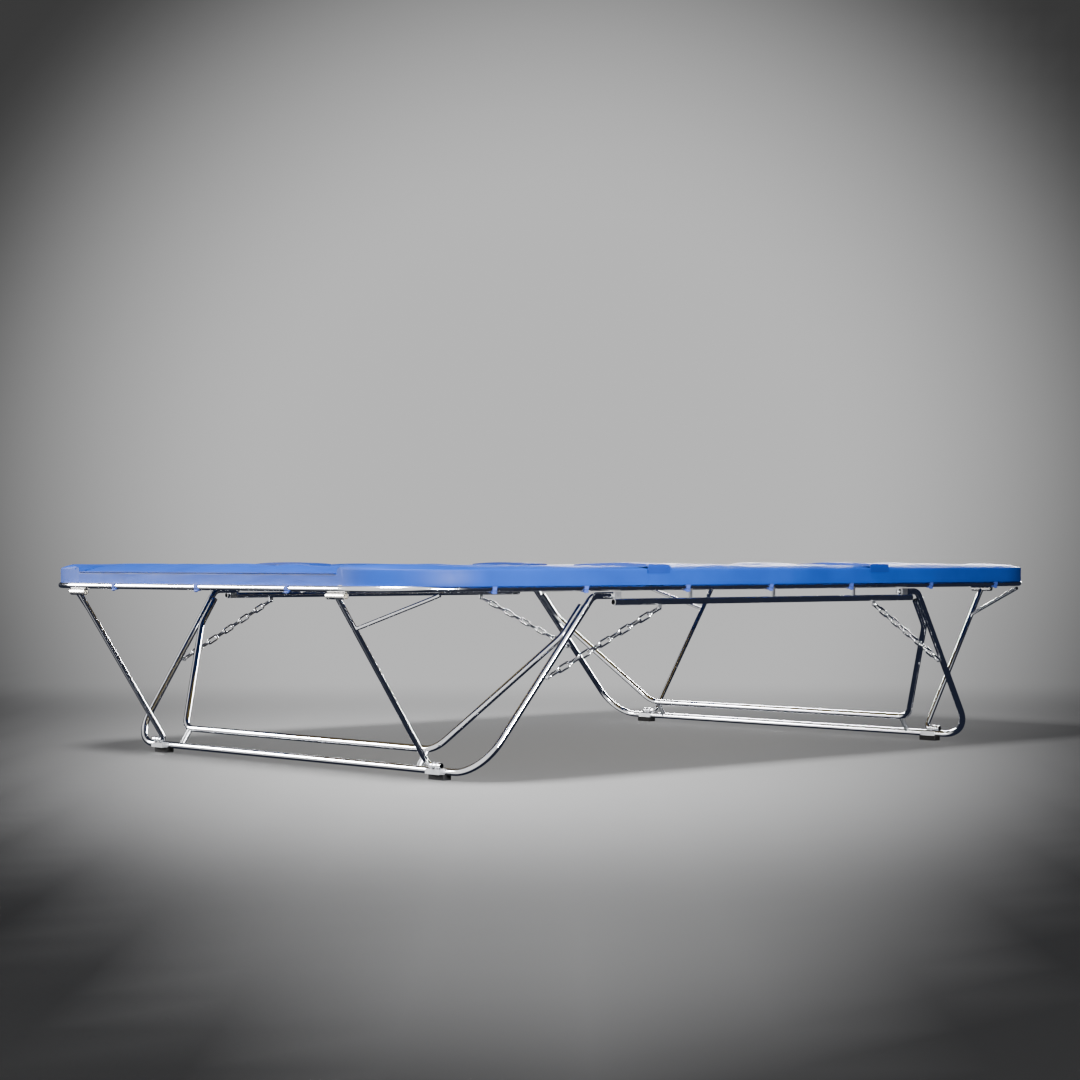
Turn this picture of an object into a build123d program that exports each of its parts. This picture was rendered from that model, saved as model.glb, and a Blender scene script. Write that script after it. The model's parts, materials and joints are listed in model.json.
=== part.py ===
from build123d import *
import os

os.makedirs("parts", exist_ok=True)

# Folding gymnastic trampoline. Millimetres, +Z up, origin on the floor under the centre of the bed.
# "near" is the -X end and "far" the +X end; "left" is +Y and "right" is -Y.

# Main frame: round steel tube around the bed, split into a middle and two ends at the fold lines
HALF_LENGTH = 2372
HALF_WIDTH = 1520
FRAME_DIA = 30
FRAME_WALL = 3
FRAME_Z = 879
FRAME_CORNER_R = 430
FOLD_X = 821
FOLD_Z = 930
FOLD_GAP = 2

# Fold hinges: one lug of each end section turns between two lugs of the middle section
LUG_R = 15
LUG_WIDTH = 34
LUG_THICK = 7
LUG_STEP = 7.5
FOLD_PIN_DIA = 12
FOLD_PIN_LENGTH = 30
RUN_CLEARANCE = 0.05

# Pads: simple closed solids on top of the frame tube, rounded at the outer corners
PAD_OUTER_X = 2365
PAD_OUTER_Y = 1550
PAD_INNER_X = 1925
PAD_INNER_Y = 1056
PAD_CORNER_R = 450
PAD_BOTTOM = 895
PAD_TOP = 980
PAD_FOLD_GAP = 61
PAD_SEAM_GAP = 3

# Cover strips over the gap between the pads at the fold lines
COVER_HALF = 75
COVER_THICK = 7
COVER_FLAP = 5
COVER_FLAP_BOTTOM = 945

# Straps that tie the pads to the frame tube
STRAP_WIDTH = 28
STRAP_THICK = 2.4
STRAP_CLEARANCE = 0.4
STRAP_X_MIDDLE = [-600, 0, 620]
STRAP_X_END = [1280, 1850]
STRAP_Y_END = [-710, 0, 710]

# Woven bed and the springs between its hem and the frame
BED_HALF_X = 1955
BED_HALF_Y = 1090
BED_THICK = 4
SPRING_DIA = 18
SPRING_ROD_DIA = 6
SPRING_HOOK = 25
SPRINGS_PER_SIDE_MIDDLE = 14
SPRINGS_PER_SIDE_END = 9
SPRINGS_PER_END = 18
SPRING_CLEARANCE = 0.5

# Under-rails: open-ended tubes under the long sides that carry the legs
RAIL_DIA = 32
RAIL_WALL = 2.5
RAIL_Y = 1535
RAIL_Z = 812
RAIL_HALF = 1107
SPACER_LENGTH = 16
SPACER_THICK = 10
SPACER_FROM_STRAP = 24

# Legs: an outer and an inner U of tube, hinged on the under-rails
LEG_DIA = 34
LEG_WALL = 2.5
LEG_TOP_END_X = 1055
LEG_TOP_BEND_X = 1205
LEG_TOP_Y = 1500
LEG_PIVOT_X = 1067
LEG_PIVOT_Z = 842
LEG_TOP_BEND_R = 60
LEG_FLOOR_X = 1808
LEG_FLOOR_Y = 1388
LEG_FLOOR_Z = 40
LEG_FLOOR_BEND_R = 200
INNER_DIA = 32
INNER_WALL = 2.5
INNER_TOP = (1240, 1457, 795)
INNER_BEND = (1344, 1437, 655)
INNER_FLOOR = (1748, 1006, 128)
INNER_BEND_R = 120
POST_DIA = 26
POST_Y = 955
TIE_DIA = 14
TIE_FRACTIONS = [0.12, 0.85]

# Leg pivots: a bolt through the leg, held by a plate on the under-rail
PIVOT_BOLT_DIA = 12
PIVOT_HEAD_R = 10
PIVOT_HEAD_Y = 1471
PIVOT_HEAD_THICK = 10
PIVOT_PLATE_Y = 1518.5
PIVOT_PLATE_THICK = 8
PIVOT_PLATE_WIDTH = 44
PIVOT_PLATE_BOTTOM = 797
PIVOT_PLATE_TOP = 860

# Feet: a rubber block under a steel bracket whose two ears hold the strut
FOOT_Y = 1111
FOOT_LENGTH = 110
FOOT_WIDTH = 50
FOOT_HEIGHT = 27
BRACKET_LENGTH = 96
BRACKET_INNER_X = 1788
BRACKET_OUTER_X = 1856
BRACKET_TOP = 50
EAR_Y = [1103, 1131]
EAR_THICK = 5
EAR_R = 17

# Struts: from each foot up to a sleeve under the end tube, with a brace towards the corner
STRUT_DIA = 26
STRUT_WALL = 2.5
STRUT_X = 1838
STRUT_END_Y = 1158
STRUT_Y = 1063
STRUT_Z = 67
STRUT_BEND_R = 28
SLEEVE_DIA = 32
SLEEVE_WALL = 2.5
SLEEVE_LENGTH = 130
SLEEVE_X = 2365
SLEEVE_Y = 1057
SLEEVE_Z = 847
BRACE_DIA = 19
BRACE_WALL = 2
BRACE_START = (2262, 1057, 696)
BRACE_END = (2122, 1478, 852)

# Chains: welded oval links from a lug on the under-rail to a lug on the leg
CHAIN_TOP = (797, 1535, 781)
CHAIN_BOTTOM = (1447, 1450, 470)
CHAIN_LINKS = 11
LINK_WIRE = 9
LINK_WIDTH = 36
LINK_CLEARANCE = 0.4
CHAIN_LUG_R = 13
CHAIN_LUG_HOLE_R = 6.2
CHAIN_LUG_THICK = 5

ENDS = {"near": -1, "far": 1}
SIDES = {"left": 1, "right": -1}


def save(part, name):
    part.label = name
    export_step(part, f"parts/{name}.step")


def placed(point, sx, sy):
    """The point of the +X +Y quarter, moved to the quarter with signs sx and sy."""
    x, y, z = Vector(*point)
    return Vector(x * sx, y * sy, z)


def tube(points, radii, diameter, wall):
    """Round hollow tube along straight runs joined by arcs, one radius for each corner."""
    with BuildPart() as bent:
        with BuildLine() as path:
            if radii:
                FilletPolyline(*points, radius=radii)
            else:
                Line(points[0], points[1])
        with BuildSketch(Plane(origin=path.line @ 0, z_dir=path.line % 0)):
            Circle(diameter / 2)
            Circle(diameter / 2 - wall, mode=Mode.SUBTRACT)
        sweep()
    return bent.part


def rod(start, end, diameter):
    """Solid round bar from start to end."""
    start, end = Vector(*start), Vector(*end)
    with BuildPart() as bar:
        with BuildSketch(Plane(origin=start, z_dir=end - start)):
            Circle(diameter / 2)
        extrude(amount=(end - start).length)
    return bar.part


# ---------------------------------------------------------------- middle frame section
MIDDLE_HALF = FOLD_X - FOLD_GAP / 2

with BuildPart() as middle_rails:
    for side in SIDES.values():
        with BuildSketch(Plane(origin=(-MIDDLE_HALF, side * HALF_WIDTH, FRAME_Z), z_dir=(1, 0, 0))):
            Circle(FRAME_DIA / 2)
            Circle(FRAME_DIA / 2 - FRAME_WALL, mode=Mode.SUBTRACT)
        extrude(amount=2 * MIDDLE_HALF)
save(middle_rails.part, "middle_rails")

with BuildPart() as under_rails:
    for side in SIDES.values():
        with BuildSketch(Plane(origin=(-RAIL_HALF, side * RAIL_Y, RAIL_Z), z_dir=(1, 0, 0))):
            Circle(RAIL_DIA / 2)
            Circle(RAIL_DIA / 2 - RAIL_WALL, mode=Mode.SUBTRACT)
        extrude(amount=2 * RAIL_HALF)
save(under_rails.part, "under_rails")

# Narrow plates welded between the under-rails and the frame tube, one beside each strap
SPACER_MID_Y = (HALF_WIDTH + RAIL_Y) / 2
with BuildPart() as rail_spacers:
    for side in SIDES.values():
        for x in STRAP_X_MIDDLE:
            with Locations((x + SPACER_FROM_STRAP, side * SPACER_MID_Y, (RAIL_Z + FRAME_Z) / 2)):
                Box(SPACER_LENGTH, SPACER_THICK, FRAME_Z - RAIL_Z)
        with Locations((0, side * HALF_WIDTH, FRAME_Z)):
            Cylinder(FRAME_DIA / 2, 2 * MIDDLE_HALF, rotation=(0, 90, 0), mode=Mode.SUBTRACT)
        with Locations((0, side * RAIL_Y, RAIL_Z)):
            Cylinder(RAIL_DIA / 2, 2 * RAIL_HALF, rotation=(0, 90, 0), mode=Mode.SUBTRACT)
save(rail_spacers.part, "rail_spacers")

# Lugs for the chains, welded under the under-rails
with BuildPart() as chain_lugs:
    for side in SIDES.values():
        for end in ENDS.values():
            x, y, z = CHAIN_TOP
            with BuildSketch(Plane(origin=(end * x, side * y, 0), z_dir=(0, 1, 0), x_dir=(1, 0, 0))):
                with Locations((0, -z)):
                    Circle(CHAIN_LUG_R)
                with Locations((0, -(z + RAIL_Z) / 2)):
                    Rectangle(2 * CHAIN_LUG_R, RAIL_Z - z)
                with Locations((0, -z)):
                    Circle(CHAIN_LUG_HOLE_R, mode=Mode.SUBTRACT)
            extrude(amount=CHAIN_LUG_THICK / 2, both=True)
        with Locations((0, side * RAIL_Y, RAIL_Z)):
            Cylinder(RAIL_DIA / 2, 2 * RAIL_HALF, rotation=(0, 90, 0), mode=Mode.SUBTRACT)
save(chain_lugs.part, "chain_lugs")


# ---------------------------------------------------------------- fold hinges
def fold_lug(x_sign, end, y):
    """Plate in the XZ plane from the frame tube up to an eye on the fold axis.

    x_sign points from the fold line towards the section that carries the lug.
    """
    with BuildPart() as lug:
        with BuildSketch(Plane(origin=(end * FOLD_X, y, 0), z_dir=(0, 1, 0), x_dir=(1, 0, 0))):
            with Locations((0, -FOLD_Z)):
                Circle(LUG_R)
            with BuildLine():
                Polyline(
                    (x_sign * FOLD_GAP, -FRAME_Z),
                    (x_sign * (FOLD_GAP + LUG_WIDTH), -FRAME_Z),
                    (x_sign * LUG_R, -FOLD_Z),
                    (x_sign * FOLD_GAP, -FOLD_Z),
                    close=True,
                )
            make_face()
            with Locations((0, -FOLD_Z)):
                Circle(FOLD_PIN_DIA / 2 + RUN_CLEARANCE, mode=Mode.SUBTRACT)
        extrude(amount=LUG_THICK / 2, both=True)
        with Locations((end * FOLD_X, HALF_WIDTH if y > 0 else -HALF_WIDTH, FRAME_Z)):
            Cylinder(FRAME_DIA / 2, 4 * LUG_WIDTH, rotation=(0, 90, 0), mode=Mode.SUBTRACT)
    return lug.part


with BuildPart() as middle_fold_lugs:
    for end in ENDS.values():
        for side in SIDES.values():
            for step in (-LUG_STEP, LUG_STEP):
                add(fold_lug(-end, end, side * HALF_WIDTH + step))
save(middle_fold_lugs.part, "middle_fold_lugs")

with BuildPart() as fold_pins:
    for end in ENDS.values():
        for side in SIDES.values():
            with Locations((end * FOLD_X, side * HALF_WIDTH, FOLD_Z)):
                Cylinder(FOLD_PIN_DIA / 2, FOLD_PIN_LENGTH, rotation=(90, 0, 0))
    chamfer(fold_pins.edges().filter_by(GeomType.CIRCLE), length=1)
save(fold_pins.part, "fold_pins")

for end_name, end in ENDS.items():
    with BuildPart() as end_fold_lugs:
        for side in SIDES.values():
            add(fold_lug(end, end, side * HALF_WIDTH))
    save(end_fold_lugs.part, f"fold_lugs_{end_name}")

# ---------------------------------------------------------------- end frame sections
for end_name, end in ENDS.items():
    fold_end = end * (FOLD_X + FOLD_GAP / 2)
    end_frame = tube(
        [
            (fold_end, HALF_WIDTH, FRAME_Z),
            (end * HALF_LENGTH, HALF_WIDTH, FRAME_Z),
            (end * HALF_LENGTH, -HALF_WIDTH, FRAME_Z),
            (fold_end, -HALF_WIDTH, FRAME_Z),
        ],
        [FRAME_CORNER_R, FRAME_CORNER_R],
        FRAME_DIA,
        FRAME_WALL,
    )
    save(end_frame, f"end_frame_{end_name}")

# ---------------------------------------------------------------- pads
PAD_HEIGHT = PAD_TOP - PAD_BOTTOM
PAD_WIDTH = PAD_OUTER_Y - PAD_INNER_Y

for side_name, side in SIDES.items():
    with BuildPart() as middle_pad:
        with BuildSketch(Plane.XY.offset(PAD_BOTTOM)):
            with Locations((0, side * (PAD_OUTER_Y + PAD_INNER_Y) / 2)):
                Rectangle(2 * (FOLD_X - PAD_FOLD_GAP), PAD_WIDTH)
        extrude(amount=PAD_HEIGHT)
    save(middle_pad.part, f"middle_pad_{side_name}")

CORNER_PAD_START = FOLD_X + PAD_FOLD_GAP
for end_name, end in ENDS.items():
    for side_name, side in SIDES.items():
        with BuildPart() as corner_pad:
            with BuildSketch(Plane.XY.offset(PAD_BOTTOM)):
                with BuildLine():
                    Line(
                        (end * CORNER_PAD_START, side * PAD_INNER_Y),
                        (end * CORNER_PAD_START, side * PAD_OUTER_Y),
                    )
                    FilletPolyline(
                        (end * CORNER_PAD_START, side * PAD_OUTER_Y),
                        (end * PAD_OUTER_X, side * PAD_OUTER_Y),
                        (end * PAD_OUTER_X, side * PAD_INNER_Y),
                        radius=PAD_CORNER_R,
                    )
                    Line(
                        (end * PAD_OUTER_X, side * PAD_INNER_Y),
                        (end * CORNER_PAD_START, side * PAD_INNER_Y),
                    )
                make_face()
            extrude(amount=PAD_HEIGHT)
        save(corner_pad.part, f"corner_pad_{end_name}_{side_name}")

    with BuildPart() as end_pad:
        with BuildSketch(Plane.XY.offset(PAD_BOTTOM)):
            with Locations((end * (PAD_OUTER_X + PAD_INNER_X) / 2, 0)):
                Rectangle(PAD_OUTER_X - PAD_INNER_X, 2 * (PAD_INNER_Y - PAD_SEAM_GAP))
        extrude(amount=PAD_HEIGHT)
    save(end_pad.part, f"end_pad_{end_name}")

# Cover strips: a top over both pads, and a flap down each end
COVER_TOP = PAD_TOP + 1 + COVER_THICK
for end_name, end in ENDS.items():
    for side_name, side in SIDES.items():
        inner = PAD_INNER_Y - 1
        outer = PAD_OUTER_Y + 1
        with BuildPart() as cover:
            with BuildSketch(Plane(origin=(end * FOLD_X, 0, 0), z_dir=(1, 0, 0), x_dir=(0, 1, 0))):
                with BuildLine():
                    Polyline(
                        (side * (inner - COVER_FLAP), COVER_FLAP_BOTTOM),
                        (side * (inner - COVER_FLAP), COVER_TOP),
                        (side * (outer + COVER_FLAP), COVER_TOP),
                        (side * (outer + COVER_FLAP), COVER_FLAP_BOTTOM),
                        (side * outer, COVER_FLAP_BOTTOM),
                        (side * outer, COVER_TOP - COVER_THICK),
                        (side * inner, COVER_TOP - COVER_THICK),
                        (side * inner, COVER_FLAP_BOTTOM),
                        close=True,
                    )
                make_face()
            extrude(amount=COVER_HALF, both=True)
        save(cover.part, f"fold_cover_{end_name}_{side_name}")


# ---------------------------------------------------------------- straps around the frame tube
def strap(x, y, along):
    """Band under the frame tube at (x, y), whose tube runs along the given axis, up to the pad."""
    inner = FRAME_DIA / 2 + STRAP_CLEARANCE
    outer = inner + STRAP_THICK
    height = PAD_BOTTOM - STRAP_CLEARANCE - FRAME_Z
    across = Vector(0, 0, 1).cross(Vector(*along))
    with BuildPart() as band:
        with BuildSketch(Plane(origin=(x, y, FRAME_Z), z_dir=along, x_dir=across)):
            Circle(outer)
            with Locations((0, height / 2)):
                Rectangle(2 * outer, height)
                Rectangle(2 * inner, height, mode=Mode.SUBTRACT)
            Circle(inner, mode=Mode.SUBTRACT)
            with Locations((0, height + outer)):
                Rectangle(2 * outer, 2 * outer, mode=Mode.SUBTRACT)
        extrude(amount=STRAP_WIDTH / 2, both=True)
    return band.part


with BuildPart() as middle_straps:
    for side in SIDES.values():
        for x in STRAP_X_MIDDLE:
            add(strap(x, side * HALF_WIDTH, (1, 0, 0)))
save(middle_straps.part, "middle_straps")

for end_name, end in ENDS.items():
    with BuildPart() as end_straps:
        for side in SIDES.values():
            for x in STRAP_X_END:
                add(strap(end * x, side * HALF_WIDTH, (1, 0, 0)))
        for y in STRAP_Y_END:
            add(strap(end * HALF_LENGTH, y, (0, 1, 0)))
    save(end_straps.part, f"straps_{end_name}")

# ---------------------------------------------------------------- bed
with BuildPart() as bed_middle:
    with Locations((0, 0, FRAME_Z)):
        Box(2 * MIDDLE_HALF, 2 * BED_HALF_Y, BED_THICK)
save(bed_middle.part, "bed_middle")

for end_name, end in ENDS.items():
    bed_start = FOLD_X + FOLD_GAP / 2
    with BuildPart() as bed_end:
        with Locations((end * (bed_start + BED_HALF_X) / 2, 0, FRAME_Z)):
            Box(BED_HALF_X - bed_start, 2 * BED_HALF_Y, BED_THICK)
    save(bed_end.part, f"bed_{end_name}")


# ---------------------------------------------------------------- springs
def spring(tube_point, bed_point):
    """Closed coil as a plain bar between two hook rods."""
    tube_point, bed_point = Vector(*tube_point), Vector(*bed_point)
    inward = (bed_point - tube_point).normalized()
    with BuildPart() as coil:
        add(rod(tube_point, bed_point, SPRING_ROD_DIA))
        add(rod(tube_point + inward * SPRING_HOOK, bed_point - inward * SPRING_HOOK, SPRING_DIA))
    return coil.part


SPRING_TUBE_Y = HALF_WIDTH - FRAME_DIA / 2 - SPRING_CLEARANCE
SPRING_BED_Y = BED_HALF_Y + SPRING_CLEARANCE
SPRING_TUBE_X = HALF_LENGTH - FRAME_DIA / 2 - SPRING_CLEARANCE
SPRING_BED_X = BED_HALF_X + SPRING_CLEARANCE
SPRING_MARGIN = 55


def side_springs(start, stop, count):
    """Springs along both long sides between x = start and x = stop."""
    with BuildPart() as row:
        for side in SIDES.values():
            for i in range(count):
                x = start + (stop - start) * i / (count - 1)
                add(spring((x, side * SPRING_TUBE_Y, FRAME_Z), (x, side * SPRING_BED_Y, FRAME_Z)))
    return row.part


middle_springs = side_springs(-FOLD_X + SPRING_MARGIN, FOLD_X - SPRING_MARGIN, SPRINGS_PER_SIDE_MIDDLE)
save(middle_springs, "springs_middle")

for end_name, end in ENDS.items():
    first = end * (FOLD_X + SPRING_MARGIN)
    last = end * (BED_HALF_X - SPRING_MARGIN)
    span = 2 * (BED_HALF_Y - SPRING_MARGIN)
    with BuildPart() as end_springs:
        add(side_springs(first, last, SPRINGS_PER_SIDE_END))
        for i in range(SPRINGS_PER_END):
            y = -span / 2 + span * i / (SPRINGS_PER_END - 1)
            add(spring((end * SPRING_TUBE_X, y, FRAME_Z), (end * SPRING_BED_X, y, FRAME_Z)))
    save(end_springs.part, f"springs_{end_name}")

# ---------------------------------------------------------------- leg pivots
with BuildPart() as pivot_plates:
    for side in SIDES.values():
        for end in ENDS.values():
            y = PIVOT_PLATE_Y + PIVOT_PLATE_THICK / 2
            z = (PIVOT_PLATE_TOP + PIVOT_PLATE_BOTTOM) / 2
            with Locations((end * LEG_PIVOT_X, side * y, z)):
                Box(PIVOT_PLATE_WIDTH, PIVOT_PLATE_THICK, PIVOT_PLATE_TOP - PIVOT_PLATE_BOTTOM)
            with Locations((end * LEG_PIVOT_X, side * y, LEG_PIVOT_Z)):
                Cylinder(PIVOT_BOLT_DIA / 2, 60, rotation=(90, 0, 0), mode=Mode.SUBTRACT)
        with Locations((0, side * RAIL_Y, RAIL_Z)):
            Cylinder(RAIL_DIA / 2, 2 * RAIL_HALF, rotation=(0, 90, 0), mode=Mode.SUBTRACT)
save(pivot_plates.part, "leg_pivot_plates")

with BuildPart() as pivot_bolts:
    for side in SIDES.values():
        for end in ENDS.values():
            head = Plane(origin=(end * LEG_PIVOT_X, side * PIVOT_HEAD_Y, LEG_PIVOT_Z), z_dir=(0, side, 0))
            with BuildSketch(head):
                RegularPolygon(PIVOT_HEAD_R, 6)
            extrude(amount=PIVOT_HEAD_THICK)
            with BuildSketch(head):
                Circle(PIVOT_BOLT_DIA / 2)
            extrude(amount=PIVOT_PLATE_Y + PIVOT_PLATE_THICK - PIVOT_HEAD_Y)
save(pivot_bolts.part, "leg_pivot_bolts")

# ---------------------------------------------------------------- legs
OUTER_TOP = (LEG_TOP_BEND_X, LEG_TOP_Y, LEG_PIVOT_Z)
OUTER_FLOOR = (LEG_FLOOR_X, LEG_FLOOR_Y, LEG_FLOOR_Z)
OUTER_LINE = (Vector(*OUTER_FLOOR) - Vector(*OUTER_TOP)).normalized()


def on_outer(z):
    """Point of the outer upright's axis at height z."""
    return Vector(*OUTER_TOP) + OUTER_LINE * ((z - LEG_PIVOT_Z) / OUTER_LINE.Z)


def mirrored_run(quarter_points, end):
    """A U-shaped route: the left half's points, then the right half's in reverse."""
    left = [placed(p, end, 1) for p in quarter_points]
    right = [placed(p, end, -1) for p in reversed(quarter_points)]
    return left + right


for end_name, end in ENDS.items():
    outer_tube = tube(
        mirrored_run([(LEG_TOP_END_X, LEG_TOP_Y, LEG_PIVOT_Z), OUTER_TOP, OUTER_FLOOR], end),
        [LEG_TOP_BEND_R, LEG_FLOOR_BEND_R, LEG_FLOOR_BEND_R, LEG_TOP_BEND_R],
        LEG_DIA,
        LEG_WALL,
    )
    with BuildPart() as leg_outer:
        add(outer_tube)
        with Locations((end * LEG_PIVOT_X, 0, LEG_PIVOT_Z)):
            Cylinder(
                PIVOT_BOLT_DIA / 2 + RUN_CLEARANCE,
                2 * PIVOT_PLATE_Y,
                rotation=(90, 0, 0),
                mode=Mode.SUBTRACT,
            )
    save(leg_outer.part, f"leg_outer_{end_name}")

    inner_tube = tube(
        mirrored_run([INNER_TOP, INNER_BEND, INNER_FLOOR], end),
        [INNER_BEND_R] * 4,
        INNER_DIA,
        INNER_WALL,
    )
    save(inner_tube, f"leg_inner_{end_name}")

    # Posts between the two floor runs, ties between the uprights, and a lug for each chain
    with BuildPart() as ties:
        for side in SIDES.values():
            lower = placed((LEG_FLOOR_X, POST_Y, LEG_FLOOR_Z), end, side)
            upper = placed((INNER_FLOOR[0], POST_Y, INNER_FLOOR[2]), end, side)
            add(rod(lower, upper, POST_DIA))
            for fraction in TIE_FRACTIONS:
                inner_point = Vector(*INNER_TOP) + (Vector(*INNER_BEND) - Vector(*INNER_TOP)) * fraction
                outer_point = placed(on_outer(inner_point.Z), end, side)
                add(rod(outer_point, placed(inner_point, end, side), TIE_DIA))
            lug_top = placed(CHAIN_BOTTOM, end, side)
            add(rod(placed(on_outer(CHAIN_BOTTOM[2] - 12), end, side), lug_top, 2 * CHAIN_LUG_THICK))
            with Locations(Plane(origin=lug_top, z_dir=(0, 1, 0))):
                Cylinder(CHAIN_LUG_R, CHAIN_LUG_THICK)
                Cylinder(CHAIN_LUG_HOLE_R, 4 * CHAIN_LUG_THICK, mode=Mode.SUBTRACT)
            top = placed(on_outer(LEG_PIVOT_Z), end, side)
            bottom = placed(on_outer(LEG_FLOOR_Z), end, side)
            add(rod(top, bottom, LEG_DIA), mode=Mode.SUBTRACT)
            inner_upright = rod(placed(INNER_TOP, end, side), placed(INNER_BEND, end, side), INNER_DIA)
            add(inner_upright, mode=Mode.SUBTRACT)
        with Locations((end * LEG_FLOOR_X, 0, LEG_FLOOR_Z)):
            Cylinder(LEG_DIA / 2, 2 * FOOT_Y, rotation=(90, 0, 0), mode=Mode.SUBTRACT)
        with Locations((end * INNER_FLOOR[0], 0, INNER_FLOOR[2])):
            Cylinder(INNER_DIA / 2, 2 * FOOT_Y, rotation=(90, 0, 0), mode=Mode.SUBTRACT)
    save(ties.part, f"leg_ties_{end_name}")

    with BuildPart() as feet:
        for side in SIDES.values():
            with Locations((end * LEG_FLOOR_X, side * FOOT_Y, FOOT_HEIGHT / 2)):
                Box(FOOT_WIDTH, FOOT_LENGTH, FOOT_HEIGHT)
        fillet(feet.edges().filter_by(Axis.Z), radius=6)
        chamfer(feet.faces().filter_by(Axis.Z).edges(), length=1.5)
        with Locations((end * LEG_FLOOR_X, 0, LEG_FLOOR_Z)):
            Cylinder(LEG_DIA / 2, 3 * FOOT_Y, rotation=(90, 0, 0), mode=Mode.SUBTRACT)
    save(feet.part, f"feet_{end_name}")

    # Foot brackets: a base that cups the leg tube, and two ears around the strut's stub beside it
    with BuildPart() as brackets:
        for side in SIDES.values():
            base_x = (BRACKET_INNER_X + BRACKET_OUTER_X) / 2
            with Locations((end * base_x, side * FOOT_Y, (FOOT_HEIGHT + BRACKET_TOP) / 2)):
                Box(BRACKET_OUTER_X - BRACKET_INNER_X, BRACKET_LENGTH, BRACKET_TOP - FOOT_HEIGHT)
            for ear_y in EAR_Y:
                ear = Plane(origin=(end * STRUT_X, side * ear_y, 0), z_dir=(0, side, 0), x_dir=(1, 0, 0))
                up = -side
                with BuildSketch(ear):
                    with Locations((0, up * STRUT_Z)):
                        Circle(EAR_R)
                    with Locations((0, up * (STRUT_Z + FOOT_HEIGHT) / 2)):
                        Rectangle(2 * EAR_R, STRUT_Z - FOOT_HEIGHT)
                    with Locations((0, up * STRUT_Z)):
                        Circle(STRUT_DIA / 2 + RUN_CLEARANCE, mode=Mode.SUBTRACT)
                extrude(amount=EAR_THICK)
        with Locations((end * LEG_FLOOR_X, 0, LEG_FLOOR_Z)):
            Cylinder(LEG_DIA / 2, 3 * FOOT_Y, rotation=(90, 0, 0), mode=Mode.SUBTRACT)
    save(brackets.part, f"foot_brackets_{end_name}")

# ---------------------------------------------------------------- struts
STRUT_FOOT = (STRUT_X, STRUT_Y, STRUT_Z)
SLEEVE_CENTRE = (SLEEVE_X, SLEEVE_Y, SLEEVE_Z)

for end_name, end in ENDS.items():
    for side_name, side in SIDES.items():
        quarter = f"{end_name}_{side_name}"
        sleeve_low = placed((SLEEVE_X, SLEEVE_Y - SLEEVE_LENGTH / 2, SLEEVE_Z), end, side)
        sleeve_high = placed((SLEEVE_X, SLEEVE_Y + SLEEVE_LENGTH / 2, SLEEVE_Z), end, side)
        foot = placed(STRUT_FOOT, end, side)
        sleeve_centre = placed(SLEEVE_CENTRE, end, side)

        strut_tube = tube(
            [placed((STRUT_X, STRUT_END_Y, STRUT_Z), end, side), foot, sleeve_centre],
            [STRUT_BEND_R],
            STRUT_DIA,
            STRUT_WALL,
        )
        with BuildPart() as strut:
            add(strut_tube)
            add(rod(sleeve_low, sleeve_high, SLEEVE_DIA), mode=Mode.SUBTRACT)
        largest = strut.part.solids().sort_by(SortBy.VOLUME)[-1]
        save(Part([largest]), f"strut_{quarter}")

        save(tube([sleeve_low, sleeve_high], [], SLEEVE_DIA, SLEEVE_WALL), f"sleeve_{quarter}")

        brace_tube = tube(
            [placed(BRACE_START, end, side), placed(BRACE_END, end, side)], [], BRACE_DIA, BRACE_WALL
        )
        with BuildPart() as brace:
            add(brace_tube)
            add(rod(foot, sleeve_centre, STRUT_DIA), mode=Mode.SUBTRACT)
        largest = brace.part.solids().sort_by(SortBy.VOLUME)[-1]
        save(Part([largest]), f"brace_{quarter}")

# ---------------------------------------------------------------- chains
CHAIN_PITCH = ((Vector(*CHAIN_BOTTOM) - Vector(*CHAIN_TOP)).length - LINK_WIRE) / CHAIN_LINKS
LINK_STRAIGHT = CHAIN_PITCH + LINK_CLEARANCE + LINK_WIRE - (LINK_WIDTH - LINK_WIRE)


def link(plane):
    """Oval link of round wire, its long axis along the plane's X."""
    half = LINK_STRAIGHT / 2
    radius = (LINK_WIDTH - LINK_WIRE) / 2
    with BuildPart() as ring:
        with BuildLine(plane) as path:
            Line((-half, radius), (half, radius))
            ThreePointArc((half, radius), (half + radius, 0), (half, -radius))
            Line((half, -radius), (-half, -radius))
            ThreePointArc((-half, -radius), (-half - radius, 0), (-half, radius))
        with BuildSketch(Plane(origin=path.line @ 0, z_dir=path.line % 0)):
            Circle(LINK_WIRE / 2)
        sweep()
    return ring.part


for end_name, end in ENDS.items():
    for side_name, side in SIDES.items():
        top, bottom = placed(CHAIN_TOP, end, side), placed(CHAIN_BOTTOM, end, side)
        down = (bottom - top).normalized()
        first = top + down * (CHAIN_PITCH + LINK_CLEARANCE + LINK_WIRE) / 2
        across = Vector(0, 1, 0)
        across = (across - down * across.dot(down)).normalized()
        with BuildPart() as chain:
            for i in range(CHAIN_LINKS):
                normal = down.cross(across) if i % 2 == 0 else across
                add(link(Plane(origin=first + down * CHAIN_PITCH * i, x_dir=down, z_dir=normal)))
        save(chain.part, f"chain_{end_name}_{side_name}")
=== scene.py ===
import json
import math

import bmesh
import bpy
import numpy as np
from mathutils import Matrix, Vector, noise


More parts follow.
